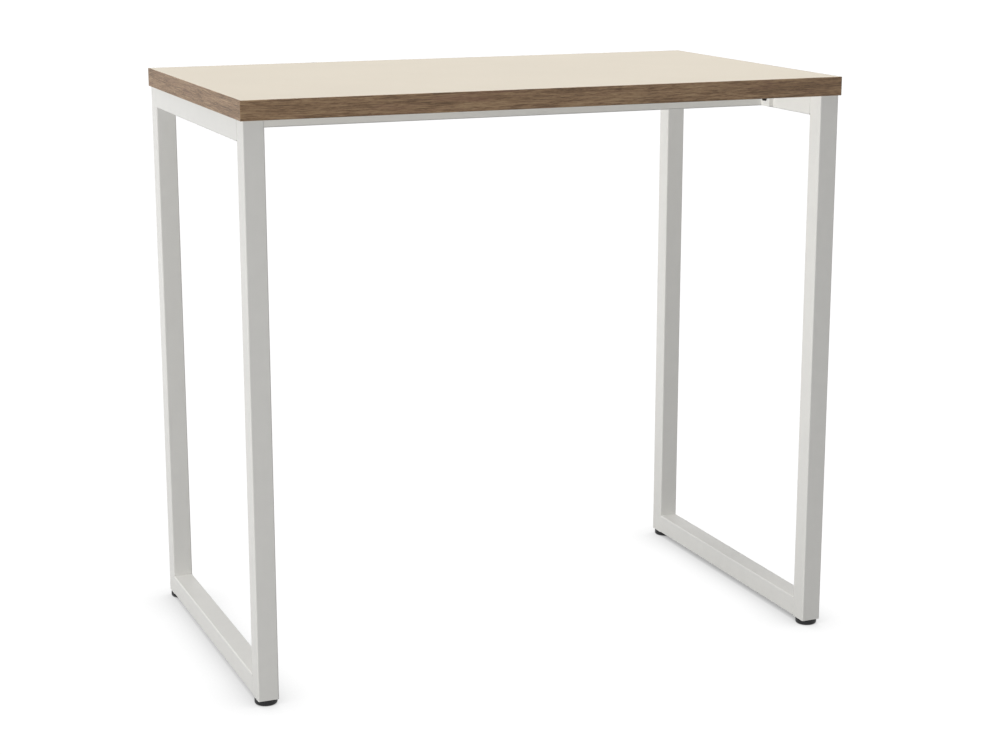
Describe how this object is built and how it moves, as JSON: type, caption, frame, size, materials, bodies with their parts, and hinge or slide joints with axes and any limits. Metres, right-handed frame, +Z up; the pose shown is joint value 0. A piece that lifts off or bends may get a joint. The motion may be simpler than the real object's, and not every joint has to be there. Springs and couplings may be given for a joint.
{
  "type": "standing meeting table",
  "caption": "Standing-height meeting table: thick edge-banded rectangular top on closed square-tube end frames, bolted under-top beams and screw-adjustable levelling feet.",
  "frame": {"origin": "on the floor, under the middle of the top", "axes": "+X along the length of the top to the right, +Y to the rear, +Z up; the front faces -Y"},
  "size_m": [1.2, 0.7, 1.12],
  "materials": {
    "cream_laminate": "plain cream laminate, fine matt texture",
    "backing_laminate": "plain balancing laminate",
    "particle_board": "raw particle board",
    "wood_grain_band": "brown wood-grain edge band, satin",
    "pale_paint": "pale warm grey powder coat, fine texture",
    "black_steel": "blackened steel",
    "zinc_steel": "zinc plated",
    "black_plastic": "moulded, fine texture"
  },
  "bodies": {
    "table": {"top_laminate": "cream_laminate", "top_core": "particle_board", "underside_laminate": "backing_laminate", "front_edge_band": "wood_grain_band", "rear_edge_band": "wood_grain_band", "left_edge_band": "wood_grain_band", "right_edge_band": "wood_grain_band", "left_front_post": "pale_paint", "left_rear_post": "pale_paint", "left_top_rail": "pale_paint", "left_bottom_rail": "pale_paint", "right_front_post": "pale_paint", "right_rear_post": "pale_paint", "right_top_rail": "pale_paint", "right_bottom_rail": "pale_paint", "front_beam": "pale_paint", "rear_beam": "pale_paint", "front_left_end_plate": "pale_paint", "front_right_end_plate": "pale_paint", "rear_left_end_plate": "pale_paint", "rear_right_end_plate": "pale_paint", "front_left_outer_bolt": "black_steel", "front_left_inner_bolt": "black_steel", "front_right_outer_bolt": "black_steel", "front_right_inner_bolt": "black_steel", "rear_left_outer_bolt": "black_steel", "rear_left_inner_bolt": "black_steel", "rear_right_outer_bolt": "black_steel", "rear_right_inner_bolt": "black_steel", "front_left_outer_rivet_nut": "zinc_steel", "front_left_inner_rivet_nut": "zinc_steel", "front_right_outer_rivet_nut": "zinc_steel", "front_right_inner_rivet_nut": "zinc_steel", "rear_left_outer_rivet_nut": "zinc_steel", "rear_left_inner_rivet_nut": "zinc_steel", "rear_right_outer_rivet_nut": "zinc_steel", "rear_right_inner_rivet_nut": "zinc_steel", "left_front_rail_screw": "zinc_steel", "left_rear_rail_screw": "zinc_steel", "right_front_rail_screw": "zinc_steel", "right_rear_rail_screw": "zinc_steel", "front_left_beam_screw": "zinc_steel", "front_right_beam_screw": "zinc_steel", "rear_left_beam_screw": "zinc_steel", "rear_right_beam_screw": "zinc_steel", "front_left_plug": "black_plastic", "front_right_plug": "black_plastic", "rear_left_plug": "black_plastic", "rear_right_plug": "black_plastic"},
    "front_left_foot": {"front_left_pad": "black_plastic"},
    "front_right_foot": {"front_right_pad": "black_plastic"},
    "rear_left_foot": {"rear_left_pad": "black_plastic"},
    "rear_right_foot": {"rear_right_pad": "black_plastic"},
    "front_left_screw": {"front_left_stud": "zinc_steel"},
    "front_right_screw": {"front_right_stud": "zinc_steel"},
    "rear_left_screw": {"rear_left_stud": "zinc_steel"},
    "rear_right_screw": {"rear_right_stud": "zinc_steel"}
  },
  "joints": [
    {"name": "front_left_foot_travel", "type": "slide", "parent": "table", "child": "front_left_foot", "axis": [0, 0, -1], "range_m": [0, 0.015]},
    {"name": "front_right_foot_travel", "type": "slide", "parent": "table", "child": "front_right_foot", "axis": [0, 0, -1], "range_m": [0, 0.015]},
    {"name": "rear_left_foot_travel", "type": "slide", "parent": "table", "child": "rear_left_foot", "axis": [0, 0, -1], "range_m": [0, 0.015]},
    {"name": "rear_right_foot_travel", "type": "slide", "parent": "table", "child": "rear_right_foot", "axis": [0, 0, -1], "range_m": [0, 0.015]},
    {"name": "front_left_stud_turn", "type": "hinge", "parent": "front_left_foot", "child": "front_left_screw", "pos_m": [-0.576, -0.326, 0], "axis": [0, 0, -1], "range_deg": [0, 4320]},
    {"name": "front_right_stud_turn", "type": "hinge", "parent": "front_right_foot", "child": "front_right_screw", "pos_m": [0.576, -0.326, 0], "axis": [0, 0, -1], "range_deg": [0, 4320]},
    {"name": "rear_left_stud_turn", "type": "hinge", "parent": "rear_left_foot", "child": "rear_left_screw", "pos_m": [-0.576, 0.326, 0], "axis": [0, 0, -1], "range_deg": [0, 4320]},
    {"name": "rear_right_stud_turn", "type": "hinge", "parent": "rear_right_foot", "child": "rear_right_screw", "pos_m": [0.576, 0.326, 0], "axis": [0, 0, -1], "range_deg": [0, 4320]}
  ],
  "couplings": [
    {"joint": "front_left_foot_travel", "follows": "front_left_stud_turn", "m_per_rad": 0.00019894},
    {"joint": "front_right_foot_travel", "follows": "front_right_stud_turn", "m_per_rad": 0.00019894},
    {"joint": "rear_left_foot_travel", "follows": "rear_left_stud_turn", "m_per_rad": 0.00019894},
    {"joint": "rear_right_foot_travel", "follows": "rear_right_stud_turn", "m_per_rad": 0.00019894}
  ]
}
